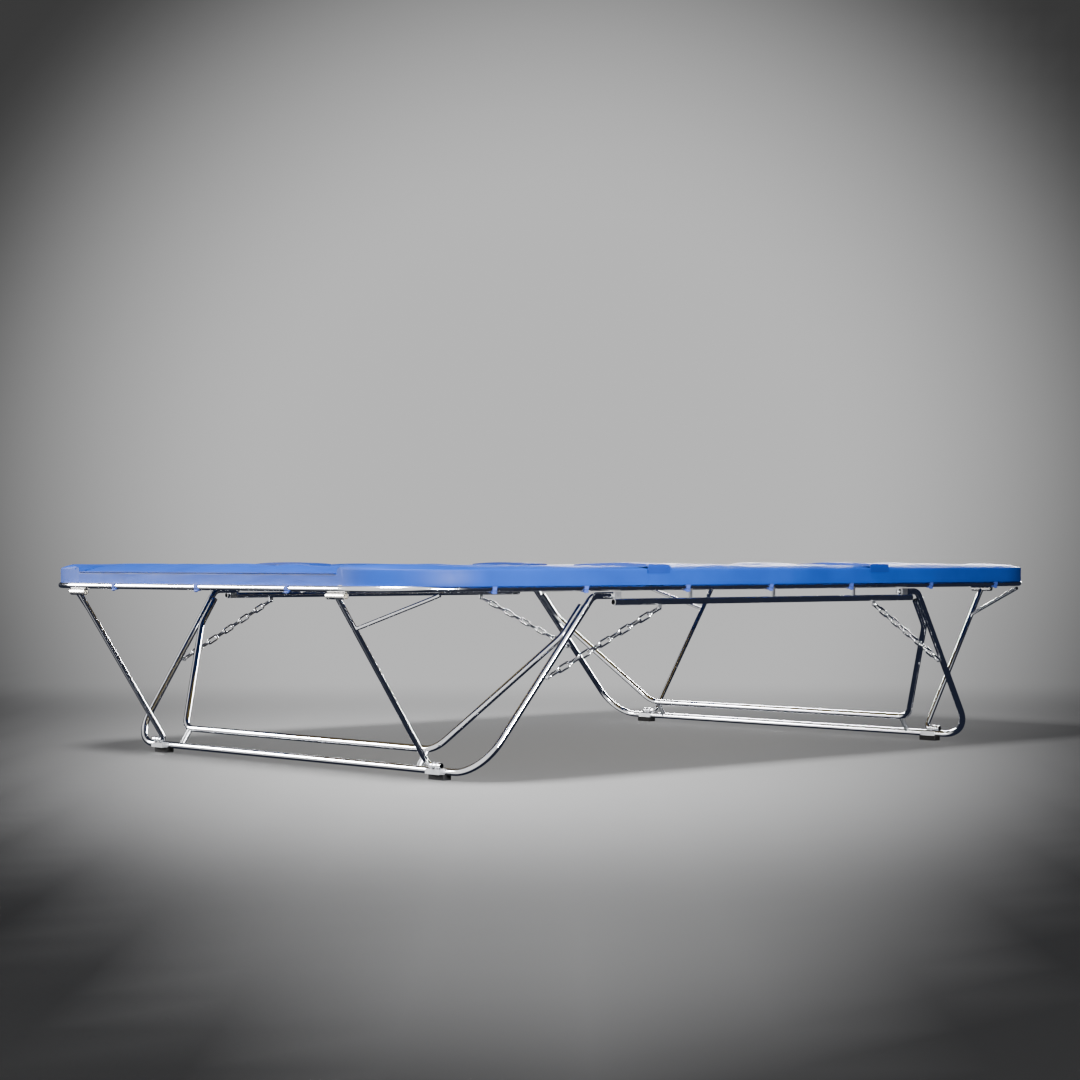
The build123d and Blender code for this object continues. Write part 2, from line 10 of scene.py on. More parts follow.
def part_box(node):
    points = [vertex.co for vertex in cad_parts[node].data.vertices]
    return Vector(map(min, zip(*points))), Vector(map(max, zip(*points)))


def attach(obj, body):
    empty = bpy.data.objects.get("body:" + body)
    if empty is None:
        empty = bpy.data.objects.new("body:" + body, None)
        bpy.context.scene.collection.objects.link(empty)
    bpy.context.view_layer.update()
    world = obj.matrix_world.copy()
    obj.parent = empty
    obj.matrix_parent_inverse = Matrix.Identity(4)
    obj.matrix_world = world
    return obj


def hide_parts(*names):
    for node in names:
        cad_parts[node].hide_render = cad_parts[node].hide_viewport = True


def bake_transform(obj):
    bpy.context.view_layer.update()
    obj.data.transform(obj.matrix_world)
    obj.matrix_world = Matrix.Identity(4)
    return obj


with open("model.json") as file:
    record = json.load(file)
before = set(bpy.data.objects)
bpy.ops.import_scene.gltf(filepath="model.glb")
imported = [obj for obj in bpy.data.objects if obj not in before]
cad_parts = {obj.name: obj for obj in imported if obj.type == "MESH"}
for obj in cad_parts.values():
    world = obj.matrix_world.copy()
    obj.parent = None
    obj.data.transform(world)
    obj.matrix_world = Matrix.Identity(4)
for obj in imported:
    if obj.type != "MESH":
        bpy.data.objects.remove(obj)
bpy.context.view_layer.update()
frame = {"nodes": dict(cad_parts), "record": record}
NODES = frame["nodes"]
ENDS = {"near": -1, "far": 1}
SIDES = {"left": 1, "right": -1}

# ------------------------------------------------------------------ camera
CAMERA_PLACE = (-9.076, -9.578, 1.002)
CAMERA_YAW = math.radians(46.993)
CAMERA_PITCH = math.radians(0.502)
CAMERA_LENS = 80.91
FORWARD = Vector((math.cos(CAMERA_YAW), math.sin(CAMERA_YAW), 0))
RIGHT = Vector((math.sin(CAMERA_YAW), -math.cos(CAMERA_YAW), 0))


def make_camera():
    data = bpy.data.cameras.new("camera")
    data.sensor_width = 36
    data.lens = CAMERA_LENS
    data.clip_end = 200
    camera = bpy.data.objects.new("camera", data)
    camera.location = CAMERA_PLACE
    camera.rotation_euler = (math.pi / 2 + CAMERA_PITCH, 0, CAMERA_YAW - math.pi / 2)
    bpy.context.scene.collection.objects.link(camera)
    bpy.context.scene.camera = camera


# ------------------------------------------------------------------ materials
class Shader:
    """A Principled material and short calls for the nodes that drive it, in object space, in metres."""

    def __init__(self, name, **sockets):
        self.material = bpy.data.materials.new(name)
        self.material.use_nodes = True
        self.nodes = self.material.node_tree.nodes
        self.links = self.material.node_tree.links
        self.principled = self.nodes["Principled BSDF"]
        for socket, value in sockets.items():
            self.principled.inputs[socket.replace("_", " ")].default_value = value
        self.place = self.nodes.new("ShaderNodeTexCoord").outputs["Object"]

    def noise(self, scale, detail, rough):
        node = self.nodes.new("ShaderNodeTexNoise")
        node.inputs["Scale"].default_value = scale
        node.inputs["Detail"].default_value = detail
        node.inputs["Roughness"].default_value = rough
        self.links.new(self.place, node.inputs["Vector"])
        return node.outputs["Fac"]

    def cells(self, scale):
        node = self.nodes.new("ShaderNodeTexVoronoi")
        node.inputs["Scale"].default_value = scale
        self.links.new(self.place, node.inputs["Vector"])
        return node.outputs["Distance"]

    def wave(self, scale, direction):
        node = self.nodes.new("ShaderNodeTexWave")
        node.wave_profile = "SIN"
        node.bands_direction = direction
        node.inputs["Scale"].default_value = scale
        node.inputs["Distortion"].default_value = 0
        self.links.new(self.place, node.inputs["Vector"])
        return node.outputs["Fac"]

    def math(self, operation, a, b):
        node = self.nodes.new("ShaderNodeMath")
        node.operation = operation
        for socket, value in zip(node.inputs, (a, b)):
            if isinstance(value, (int, float)):
                socket.default_value = value
            else:
                self.links.new(value, socket)
        return node.outputs[0]

    def ramp(self, factor, stops):
        """Colour ramp from stops of (position, grey or colour)."""
        node = self.nodes.new("ShaderNodeValToRGB")
        elements = node.color_ramp.elements
        while len(elements) < len(stops):
            elements.new(0.5)
        for element, (position, value) in zip(elements, stops):
            colour = (value,) * 3 if isinstance(value, (int, float)) else value
            element.position = position
            element.color = (*colour, 1)
        self.links.new(factor, node.inputs["Fac"])
        return node.outputs["Color"]

    def colour(self, output):
        self.links.new(output, self.principled.inputs["Base Color"])

    def roughness(self, factor, low, high):
        values = self.ramp(factor, [(0.25, low), (0.75, high)])
        self.links.new(values, self.principled.inputs["Roughness"])

    def bump(self, layers):
        """Bumps of (height output, distance in metres, strength), one over the other."""
        before = None
        for height, distance, strength in layers:
            node = self.nodes.new("ShaderNodeBump")
            node.inputs["Distance"].default_value = distance
            node.inputs["Strength"].default_value = strength
            self.links.new(height, node.inputs["Height"])
            if before:
                self.links.new(before, node.inputs["Normal"])
            before = node.outputs["Normal"]
        self.links.new(before, self.principled.inputs["Normal"])


def steel(name, light, dark, glossy, matt):
    """Bright metal with cloudy tone, fine grain and small specks."""
    shader = Shader(name, Metallic=1.0)
    cloud = shader.noise(9, 4, 0.6)
    shader.colour(shader.ramp(cloud, [(0.3, dark), (0.7, light)]))
    shader.roughness(shader.noise(30, 5, 0.65), glossy, matt)
    grain, specks = shader.noise(1000, 2, 0.5), shader.noise(420, 2, 0.5)
    shader.bump([(grain, 0.0001, 0.12), (specks, 0.0001, 0.08)])
    return shader.material


def vinyl(name, deep, bright):
    """Coated fabric: fine grain, soft colour drift and a faint base weave."""
    shader = Shader(name, Specular_IOR_Level=0.14)
    drift = shader.noise(3.5, 4, 0.55)
    shader.colour(shader.ramp(drift, [(0.3, deep), (0.7, bright)]))
    shader.roughness(shader.noise(12, 5, 0.6), 0.52, 0.62)
    hollows, grain, weave = shader.noise(22, 3, 0.5), shader.cells(420), shader.noise(900, 2, 0.5)
    shader.bump([(hollows, 0.0012, 0.18), (grain, 0.00035, 0.35), (weave, 0.0001, 0.3)])
    return shader.material


def webbing(name, deep, bright, pitch, sheen):
    """Plain weave of flat bands, pitch metres from band to band."""
    shader = Shader(name, Roughness=0.75, Sheen_Weight=sheen)
    # a wave node of scale 1 repeats every pi / 10 metres
    scale = math.pi / pitch / 10
    threads_per_band = 8
    weave = shader.math("MULTIPLY", shader.wave(scale, "X"), shader.wave(scale, "Y"))
    fuzz = shader.noise(60, 3, 0.5)
    mixed = shader.math("ADD", shader.math("MULTIPLY", weave, 0.7), shader.math("MULTIPLY", fuzz, 0.3))
    shader.colour(shader.ramp(mixed, [(0.15, deep), (0.7, bright)]))
    fine = scale * threads_per_band
    threads = shader.math("MULTIPLY", shader.wave(fine, "X"), shader.wave(fine, "Y"))
    shader.bump([(weave, 0.001, 0.6), (threads, 0.0003, 0.4)])
    return shader.material


def rubber():
    """Black rubber with a fine, uneven grain."""
    shader = Shader("foot_rubber", Specular_IOR_Level=0.1)
    black, charcoal = (0.003,) * 3, (0.009, 0.009, 0.010)
    shader.colour(shader.ramp(shader.noise(60, 4, 0.6), [(0.3, black), (0.75, charcoal)]))
    shader.roughness(shader.noise(90, 4, 0.6), 0.5, 0.75)
    grain, waves = shader.noise(500, 3, 0.6), shader.noise(40, 2, 0.5)
    shader.bump([(grain, 0.0003, 0.4), (waves, 0.0006, 0.2)])
    return shader.material


MATERIALS = {
    "frame_tube": steel("frame_tube", (0.95, 0.95, 0.96), (0.85, 0.86, 0.88), 0.08, 0.17),
    "leg_tube": steel("leg_tube", (0.94, 0.94, 0.96), (0.84, 0.85, 0.88), 0.05, 0.13),
    "sleeve_steel": steel("sleeve_steel", (0.95, 0.93, 0.88), (0.86, 0.84, 0.80), 0.2, 0.34),
    "bracket_steel": steel("bracket_steel", (0.66, 0.67, 0.69), (0.48, 0.49, 0.51), 0.28, 0.45),
    "fastener_steel": steel("fastener_steel", (0.60, 0.61, 0.62), (0.42, 0.43, 0.44), 0.22, 0.4),
    "chain_steel": steel("chain_steel", (0.95, 0.95, 0.96), (0.84, 0.85, 0.87), 0.08, 0.18),
    "spring_steel": steel("spring_steel", (0.62, 0.63, 0.65), (0.42, 0.43, 0.45), 0.25, 0.42),
    "foot_rubber": rubber(),
    "pad_vinyl": vinyl("pad_vinyl", (0.0015, 0.019, 0.125), (0.003, 0.027, 0.165)),
    "cover_vinyl": vinyl("cover_vinyl", (0.001, 0.012, 0.095), (0.002, 0.018, 0.12)),
    "strap_webbing": webbing("strap_webbing", (0.002, 0.022, 0.16), (0.004, 0.034, 0.22), 0.0035, 0.05),
    "bed_webbing": webbing("bed_webbing", (0.24, 0.17, 0.055), (0.48, 0.37, 0.15), 0.0125, 0.1),
}


def dress(piece, slot):
    """Gives a piece the one material of its slot."""
    piece.data.materials.clear()
    piece.data.materials.append(MATERIALS[slot])


def dress_cad_nodes():
    for part in frame["record"]["subparts"]:
        node = NODES[part["node"]]
        node.data.materials.clear()
        node.data.materials.append(MATERIALS[part["material_slot"]])


# ------------------------------------------------------------------ meshes
def new_piece(name, mesh):
    piece = bpy.data.objects.new(name, mesh)
    bpy.context.scene.collection.objects.link(piece)
    return piece


def smooth(mesh, crease=None):
    """Smooth shading, broken at edges sharper than crease degrees."""
    mesh.polygons.foreach_set("use_smooth", [True] * len(mesh.polygons))
    if crease:
        mesh.set_sharp_from_angle(angle=math.radians(crease))


def coordinates(mesh):
    found = np.zeros(len(mesh.vertices) * 3)
    mesh.vertices.foreach_get("co", found)
    return found.reshape(-1, 3)


def place_points(mesh, points):
    mesh.vertices.foreach_set("co", np.asarray(points, np.float32).ravel())
    mesh.update()


def applied(piece):
    """Bakes the piece's modifiers into its mesh."""
    graph = bpy.context.evaluated_depsgraph_get()
    mesh = bpy.data.meshes.new_from_object(piece.evaluated_get(graph), depsgraph=graph)
    piece.modifiers.clear()
    piece.data = mesh
    return piece


def merged(name, meshes):
    """One mesh that holds all of the given meshes."""
    joined = bmesh.new()
    for mesh in meshes:
        joined.from_mesh(mesh)
    result = bpy.data.meshes.new(name)
    joined.to_mesh(result)
    joined.free()
    return result


def ring_faces(stations, count):
    """Quads between closed rings of count points, and a face across the first and the last ring."""
    faces = []
    for i in range(stations - 1):
        for j in range(count):
            k = (j + 1) % count
            faces.append((i * count + j, i * count + k, (i + 1) * count + k, (i + 1) * count + j))
    faces.append(tuple(range(count))[::-1])
    faces.append(tuple(range((stations - 1) * count, stations * count)))
    return faces


def grid_faces(columns, rows):
    """Quads over a grid of points that are numbered row by row in one column after another."""
    stride = rows + 1
    corners = [i * stride + j for i in range(columns) for j in range(rows)]
    return [(a, a + 1, a + stride + 1, a + stride) for a in corners]


def turn_outward(mesh):
    """Turns the faces of a closed mesh so that they look out of it."""
    turned = bmesh.new()
    turned.from_mesh(mesh)
    bmesh.ops.recalc_face_normals(turned, faces=turned.faces)
    turned.to_mesh(mesh)
    turned.free()


def lofted(name, rings):
    """Closed mesh through rings that all have the same number of points."""
    rings = np.asarray(rings)
    mesh = bpy.data.meshes.new(name)
    mesh.from_pydata(rings.reshape(-1, 3).tolist(), [], ring_faces(*rings.shape[:2]))
    turn_outward(mesh)
    smooth(mesh)
    return mesh


def sweep_mesh(name, path, section):
    """Mesh of a section of (across, up) offsets, carried along points that each have an across and up."""
    rings = [[centre + across * a + up * b for a, b in section] for centre, across, up in path]
    mesh = bpy.data.meshes.new(name)
    vertices = [tuple(v) for ring in rings for v in ring]
    mesh.from_pydata(vertices, [], ring_faces(len(rings), len(section)))
    mesh.update()
    smooth(mesh)
    return mesh


def circle_section(radius, sides):
    """Offsets of a round section for sweep_mesh."""
    angles = [2 * math.pi * i / sides for i in range(sides)]
    return [(radius * math.cos(angle), radius * math.sin(angle)) for angle in angles]


def tube_path(points):
    """Points with directions across and up for sweep_mesh, turned as little as possible."""
    path = []
    across = None
    for i, point in enumerate(points):
        forward = (points[min(i + 1, len(points) - 1)] - points[max(i - 1, 0)]).normalized()
        if across is None:
            across = forward.orthogonal().normalized()
        across = (across - forward * across.dot(forward)).normalized()
        path.append((point, across, forward.cross(across)))
    return path


def rising(value, start, width):
    """0 up to start, 1 from start + width on, and straight in between."""
    return min(1, max(0, (value - start) / width))


def eased(share):
    """Smooth step for a share from 0 to 1."""
    return share * share * (3 - 2 * share)


# ------------------------------------------------------------------ pads
PAD_LOW, PAD_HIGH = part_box("middle_pad_left")
PAD_BOTTOM, PAD_TOP = PAD_LOW.z, PAD_HIGH.z
OUTER_Y, INNER_Y = PAD_HIGH.y, PAD_LOW.y
OUTER_X, INNER_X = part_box("end_pad_far")[1].x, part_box("end_pad_far")[0].x
CORNER_RADIUS = 0.45
FOLD_X = sum(v.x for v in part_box("fold_cover_far_left")) / 2
FRAME_LOW, FRAME_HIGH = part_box("middle_rails")
TUBE_RADIUS = (FRAME_HIGH.z - FRAME_LOW.z) / 2
TUBE_Z = (FRAME_HIGH.z + FRAME_LOW.z) / 2
TUBE_Y = FRAME_HIGH.y - TUBE_RADIUS
TUBE_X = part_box("end_frame_far")[1].x - TUBE_RADIUS
SKIRT_BOTTOM = PAD_BOTTOM - 0.005
SKIRT_TOP = PAD_TOP - 0.013
END_SKIRT_TOP = PAD_TOP - 0.032
PAD_CREST = PAD_TOP + 0.004
END_CREST = PAD_TOP + 0.008
PAD_ROUND = 0.004
PAD_STEP = 0.016
PAD_COLUMNS = 30
CORNER_STEPS = 30
WALL_DROPS = (PAD_ROUND, 0.012, 0.026, 0.042, 0.058)
HEM = ((0, 0.003), (0.001, 0), (0.005, 0), (0.007, 0.003))
SEAM_OVERLAP = 0.0025
PIPING_RADIUS = 0.0035
SIM_CAP = 0.006
SIM_STEPS = 15


def swell(x, y):
    """Slow, uneven swells of the padding, from 0 to 1."""
    broad = noise.noise(Vector((2.6 * x, 2.6 * y, 4.7)))
    narrow = noise.noise(Vector((6.1 * x, 6.1 * y, 1.3)))
    return min(1.0, max(0.0, 0.5 + 0.75 * (broad + 0.45 * narrow)))


def top_height(x, y, share, edge, crest):
    """Height of a pad's top, share of the way from its inner to its outer edge."""
    crown = math.sin(math.pi * min(1, max(0, share))) ** 0.55
    beyond_fold = rising(abs(abs(x) - FOLD_X), 0.06, 0.22)
    lift = (crest - edge) * (0.35 + 0.65 * swell(x, y)) * (0.5 + 0.5 * beyond_fold)
    return edge + crown * lift


def pad_ring(inner, outer, edge, crest):
    """Closed cross-section of a pad between an inner and an outer plan point."""
    inner, outer = Vector(inner), Vector(outer)
    width = (outer - inner).length
    out = (outer - inner) / width

    def at(distance, z):
        point = inner + out * distance
        return (point.x, point.y, z)

    ring = [at(0, PAD_BOTTOM), at(0, PAD_BOTTOM + 0.02), at(0, edge - 0.02), at(0, edge - PAD_ROUND)]
    ring.append(at(PAD_ROUND * 0.4, edge - PAD_ROUND * 0.3))
    for i in range(PAD_COLUMNS + 1):
        distance = PAD_ROUND + (width - 2 * PAD_ROUND) * i / PAD_COLUMNS
        plan = inner + out * distance
        ring.append(at(distance, top_height(plan.x, plan.y, i / PAD_COLUMNS, edge, crest)))
    ring.append(at(width - PAD_ROUND * 0.4, edge - PAD_ROUND * 0.3))
    plan = inner + out * width
    calm = rising(abs(abs(plan.x) - FOLD_X), 0.07, 0.1)
    for drop in WALL_DROPS:
        z = max(edge - drop, SKIRT_BOTTOM + 0.008)
        flutter = 0.0016 * calm * noise.noise(Vector((5 * plan.x, 5 * plan.y, 30 * z)))
        ring.append(at(width + flutter, z))
    ring += [at(width - inset, SKIRT_BOTTOM + lift) for inset, lift in HEM]
    ring += [at(width - 0.008, PAD_BOTTOM), at(width * 0.5, PAD_BOTTOM)]
    return ring


def spaced(start, stop):
    """Places from start to stop, about PAD_STEP apart."""
    count = max(2, round(abs(stop - start) / PAD_STEP))
    return [start + (stop - start) * i / count for i in range(count + 1)]


def side_ring(x, sy):
    """Cross-section at x of a pad that runs along a long side."""
    return pad_ring((x, sy * INNER_Y), (x, sy * OUTER_Y), SKIRT_TOP, PAD_CREST)


def end_ring(y, sx):
    """Cross-section at y of a pad that runs along an end."""
    return pad_ring((sx * INNER_X, y), (sx * OUTER_X, y), END_SKIRT_TOP, END_CREST)


def pad_rings(node):
    """Cross-sections of a pad from its CAD box."""
    low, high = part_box(node)
    sy = 1 if high.y + low.y > 0 else -1
    sx = 1 if high.x + low.x > 0 else -1
    if node.startswith("middle"):
        return [side_ring(x, sy) for x in spaced(low.x, high.x)]
    if node.startswith("end"):
        return [end_ring(y, sx) for y in spaced(low.y - SEAM_OVERLAP, high.y + SEAM_OVERLAP)]
    bend = OUTER_X - CORNER_RADIUS
    rings = [side_ring(sx * x, sy) for x in spaced(min(abs(low.x), abs(high.x)), bend)]
    for i in range(1, CORNER_STEPS + 1):
        angle = math.pi / 2 * i / CORNER_STEPS
        x = bend + CORNER_RADIUS * math.sin(angle)
        y = OUTER_Y - CORNER_RADIUS + CORNER_RADIUS * math.cos(angle)
        inner_x = x if i < CORNER_STEPS else OUTER_X
        rings.append(pad_ring((sx * inner_x, sy * INNER_Y), (sx * x, sy * y), SKIRT_TOP, PAD_CREST))
    return rings


def puffed(piece, cap, held):
    """Cloth simulation of the piece under pressure; no point moves further than cap, and held ones stay."""
    before = coordinates(piece.data)
    group = piece.vertex_groups.new(name="held")
    group.add([int(i) for i in np.flatnonzero(held)], 1.0, "REPLACE")
    cloth = piece.modifiers.new("cloth", "CLOTH")
    cloth.settings.quality = 5
    cloth.settings.mass = 0.3
    cloth.settings.tension_stiffness = 12
    cloth.settings.compression_stiffness = 8
    cloth.settings.shear_stiffness = 4
    cloth.settings.bending_stiffness = 0.4
    cloth.settings.use_pressure = True
    cloth.settings.uniform_pressure_force = 4
    cloth.settings.effector_weights.gravity = 0
    cloth.settings.vertex_group_mass = "held"
    cloth.collision_settings.use_collision = False
    scene = bpy.context.scene
    for step in range(1, SIM_STEPS + 1):
        scene.frame_set(step)
    applied(piece)
    moved = coordinates(piece.data) - before
    size = np.linalg.norm(moved, axis=1, keepdims=True)
    place_points(piece.data, before + moved * np.minimum(1, cap / np.maximum(size, 1e-9)))
    scene.frame_set(1)
    piece.vertex_groups.clear()


def make_pad(node, body):
    piece = new_piece(f"{node}_cover", lofted(f"{node}_cover", pad_rings(node)))
    x, y, z = coordinates(piece.data).T
    edge = END_SKIRT_TOP if node.startswith("end") else SKIRT_TOP
    puffed(piece, SIM_CAP, z < edge + 0.001)
    smooth(piece.data, 60)
    dress(piece, "pad_vinyl")
    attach(piece, body)
    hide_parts(node)


def make_pads():
    for side in SIDES:
        make_pad(f"middle_pad_{side}", "middle")
        for end in ENDS:
            make_pad(f"corner_pad_{end}_{side}", f"end_{end}")
    for end, sx in ENDS.items():
        make_pad(f"end_pad_{end}", f"end_{end}")
        low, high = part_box(f"end_pad_{end}")
        rows = spaced(low.y + 0.004, high.y - 0.004)
        path = tube_path([Vector((sx * (OUTER_X + 0.001), y, END_SKIRT_TOP)) for y in rows])
        name = f"end_piping_{end}"
        piping = new_piece(name, sweep_mesh(name, path, circle_section(PIPING_RADIUS, 8)))
        dress(piping, "cover_vinyl")
        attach(piping, f"end_{end}")


# ------------------------------------------------------------------ covers over the fold lines
def bend_at_fold(piece):
    """Bakes the piece's placement into its mesh."""
    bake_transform(piece)


def make_cover(end, side):
    """Strip over the gap between two pads, with a flap down each end."""
    sx, sy = ENDS[end], SIDES[side]
    node = f"fold_cover_{end}_{side}"
    low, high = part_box(node)
    top, flap, thick, flap_thick = high.z, low.z, 0.007, 0.003
    outer, inner = OUTER_Y + 0.006, INNER_Y - 0.006
    stations, count = 12, 24
    rings = []
    for i in range(stations + 1):
        x = low.x + (high.x - low.x) * i / stations
        edge = 0.0015 * (abs(x - sx * FOLD_X) / 0.075) ** 4
        ripple = 0.0008 * math.sin(60 * x)
        route = [(outer + ripple, flap), (outer, flap + 0.02), (outer, top - 0.003 - edge)]
        for j in range(count + 1):
            share = j / count
            y = outer - 0.002 + (inner - outer + 0.004) * share
            bulge = 1 + 0.5 * noise.noise(Vector((4 * x, 5 * y * sy, 2.2)))
            crown = 0.009 * math.sin(math.pi * share) ** 0.8 * bulge
            route.append((y, top + crown - edge))
        route += [(inner, top - 0.003 - edge), (inner, flap + 0.02), (inner + ripple, flap)]
        route += [(inner + flap_thick, flap), (inner + flap_thick, top - thick)]
        route += [(outer - flap_thick, top - thick), (outer - flap_thick, flap)]
        rings.append([(x, sy * y, z) for y, z in route])
    piece = new_piece(f"{node}_cloth", lofted(node, rings))
    smooth(piece.data, 40)
    dress(piece, "cover_vinyl")
    bend_at_fold(piece)
    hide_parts(node)


def make_fold_skirt(end, side):
    """Narrow panels that carry the skirts of two pads on over the gap between them."""
    sx, sy = ENDS[end], SIDES[side]
    half, thick, stations = 0.067, 0.003, 14
    heights = [SKIRT_BOTTOM, SKIRT_BOTTOM + 0.02, SKIRT_BOTTOM + 0.04, SKIRT_TOP + 0.004]
    meshes = []
    for y, inward in ((OUTER_Y + 0.0005, -thick), (INNER_Y - 0.0005, thick)):
        rings = []
        for i in range(stations + 1):
            x = sx * FOLD_X - half + 2 * half * i / stations
            front = [(x, sy * y, z) for z in heights]
            back = [(x, sy * (y + inward), z) for z in reversed(heights)]
            rings.append(front + back)
        meshes.append(lofted("panel", rings))
    name = f"fold_skirt_{end}_{side}"
    piece = new_piece(name, merged(name, meshes))
    smooth(piece.data, 40)
    dress(piece, "pad_vinyl")
    bend_at_fold(piece)


# ------------------------------------------------------------------ straps
STRAP_X = {"middle_straps": (-0.6, 0.0, 0.62), "straps_near": (-1.28, -1.85), "straps_far": (1.28, 1.85)}
STRAP_BODIES = {"middle_straps": "middle", "straps_near": "end_near", "straps_far": "end_far"}
STRAP_END_Y = (-0.71, 0, 0.71)
STRAP_THICK = 0.0024
STRAP_WRAP = 150
STRAP_STEPS = 12


def ribbon(points, side_vector, widths, thick):
    """Flat band along points; side_vector is the direction of its width, one width for each point."""
    rings = []
    count = len(points)
    for i, point in enumerate(points):
        forward = (points[min(i + 1, count - 1)] - points[max(i - 1, 0)]).normalized()
        up = forward.cross(side_vector).normalized()
        a, b = side_vector * widths[i] / 2, up * thick / 2
        rings.append([tuple(v) for v in (point - a - b, point + a - b, point + a + b, point - a + b)])
    return lofted("band", rings)


def strap_mesh(place, out, along):
    """Band from the pad's skirt down the outside of the frame tube, with a knot below the tube."""
    up = Vector((0, 0, 1))
    reach = TUBE_RADIUS + 0.0022
    centre = place + up * TUBE_Z
    points = [centre + out * reach + up * h for h in (PAD_BOTTOM - TUBE_Z + 0.002, 0.012, 0.006)]
    widths = [0.040, 0.034, 0.026]
    for i in range(STRAP_STEPS + 1):
        angle = math.radians(-STRAP_WRAP * i / STRAP_STEPS)
        points.append(centre + (out * math.cos(angle) + up * math.sin(angle)) * reach)
        widths.append(0.022 + 0.012 * (i / STRAP_STEPS))
    band = ribbon(points, along, widths, STRAP_THICK)
    knot = bmesh.new()
    bmesh.ops.create_uvsphere(knot, u_segments=14, v_segments=10, radius=1)
    shift = centre - up * (reach + 0.001) + out * (reach * 0.72)
    for v in knot.verts:
        v.co = shift + along * (0.017 * v.co.x) + out * (0.006 * v.co.y) + up * (0.0065 * v.co.z)
    bead = bpy.data.meshes.new("knot")
    knot.to_mesh(bead)
    knot.free()
    return [band, bead]


def make_straps():
    for node, places in STRAP_X.items():
        meshes = []
        for x in places:
            for sy in (-1, 1):
                meshes += strap_mesh(Vector((x, sy * TUBE_Y, 0)), Vector((0, sy, 0)), Vector((1, 0, 0)))
        if node != "middle_straps":
            sx = 1 if places[0] > 0 else -1
            for y in STRAP_END_Y:
                meshes += strap_mesh(Vector((sx * TUBE_X, y, 0)), Vector((sx, 0, 0)), Vector((0, 1, 0)))
        piece = new_piece(f"{node}_cloth", merged(node, meshes))
        smooth(piece.data, 50)
        dress(piece, "strap_webbing")
        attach(piece, STRAP_BODIES[node])
        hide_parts(node)


# ------------------------------------------------------------------ bed and springs
BED_X, BED_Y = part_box("bed_far")[1].x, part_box("bed_far")[1].y
BED_Z = sum(v.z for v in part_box("bed_far")) / 2
BED_THICK, HEM_THICK, HEM_WIDTH = 0.0028, 0.0052, 0.05
BED_SAG = 0.006
HEM_PULL, HEM_PITCH_X, HEM_PITCH_Y = 0.0025, 0.1165, 0.122
MIDDLE_SPRINGS, SIDE_SPRINGS, END_SPRINGS = 14, 9, 18
SPRING_MARGIN = 0.055


def make_bed(end):
    """Half of the woven bed, with a doubled hem that is drawn out a little at each spring."""
    sx = ENDS[end]
    node = f"bed_{end}"
    columns, rows = 98, 56
    top, bottom = [], []
    for i in range(columns + 1):
        for j in range(rows + 1):
            x, y = BED_X * i / columns, -BED_Y + 2 * BED_Y * j / rows
            rim = min(BED_X - x, BED_Y - abs(y))
            half_thick = (HEM_THICK if rim < HEM_WIDTH else BED_THICK) / 2
            if j in (0, rows):
                y += math.copysign(HEM_PULL * (math.cos(2 * math.pi * x / HEM_PITCH_X) - 1), y)
            if i == columns:
                x += HEM_PULL * (math.cos(2 * math.pi * y / HEM_PITCH_Y) - 1)
            sag = -BED_SAG * math.cos(math.pi / 2 * x / BED_X) * math.cos(math.pi / 2 * y / BED_Y)
            top.append((sx * x, y, BED_Z + sag + half_thick))
            bottom.append((sx * x, y, BED_Z + sag - half_thick))
    stride, under = rows + 1, len(top)
    faces = grid_faces(columns, rows)
    faces += [(under + a, under + d, under + c, under + b) for a, b, c, d in faces]
    for i in range(columns):
        for a in (i * stride, i * stride + rows):
            faces.append((a, a + stride, under + a + stride, under + a))
    for j in range(rows):
        for a in (j, columns * stride + j):
            faces.append((a, a + 1, under + a + 1, under + a))
    mesh = bpy.data.meshes.new(node)
    mesh.from_pydata(top + bottom, [], faces)
    turn_outward(mesh)
    smooth(mesh, 50)
    piece = new_piece(f"{node}_cloth", mesh)
    dress(piece, "bed_webbing")
    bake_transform(piece)
    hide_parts(node, *(["bed_middle"] if end == "near" else []))


def spring_template(length):
    """Closed coil with a hook at each end, along +X from the frame tube to the bed's hem."""
    radius, wire = 0.0078, 0.0013
    first, last = 0.022, length - 0.026
    turns, steps = 30, 8
    coil = []
    for i in range(turns * steps + 1):
        angle = 2 * math.pi * i / steps
        x = first + (last - first) * i / (turns * steps)
        coil.append(Vector((x, radius * math.cos(angle), radius * math.sin(angle))))
    frame_hook = [(first, radius, 0), (first - 0.006, 0.002, 0), (-0.001, 0, 0.004)]
    bed_hook = [(last, radius, 0), (last + 0.006, 0.002, 0)]
    bed_hook += [(length - 0.004, 0, 0.004), (length + 0.014, 0, 0.0045)]
    meshes = [sweep_mesh("coil", tube_path(coil), circle_section(wire, 4))]
    for hook in (frame_hook, bed_hook):
        path = tube_path([Vector(point) for point in hook])
        meshes.append(sweep_mesh("hook", path, circle_section(wire * 1.15, 5)))
    return merged("spring", meshes)


def copied(template, places):
    """The template mesh at each of the places, given as matrices."""
    joined = bmesh.new()
    for place in places:
        mesh = template.copy()
        mesh.transform(place)
        joined.from_mesh(mesh)
        bpy.data.meshes.remove(mesh)
    result = bpy.data.meshes.new("copies")
    joined.to_mesh(result)
    joined.free()
    return result


def spring_place(x, y, angle):
    return Matrix.Translation((x, y, TUBE_Z)) @ Matrix.Rotation(angle, 4, "Z")


def side_row(edge_y, first, last, count):
    """Places of the springs of both long sides, from x first to x last."""
    places = []
    for i in range(count):
        x = first + (last - first) * i / (count - 1)
        places += [spring_place(x, edge_y, -math.pi / 2), spring_place(x, -edge_y, math.pi / 2)]
    return places


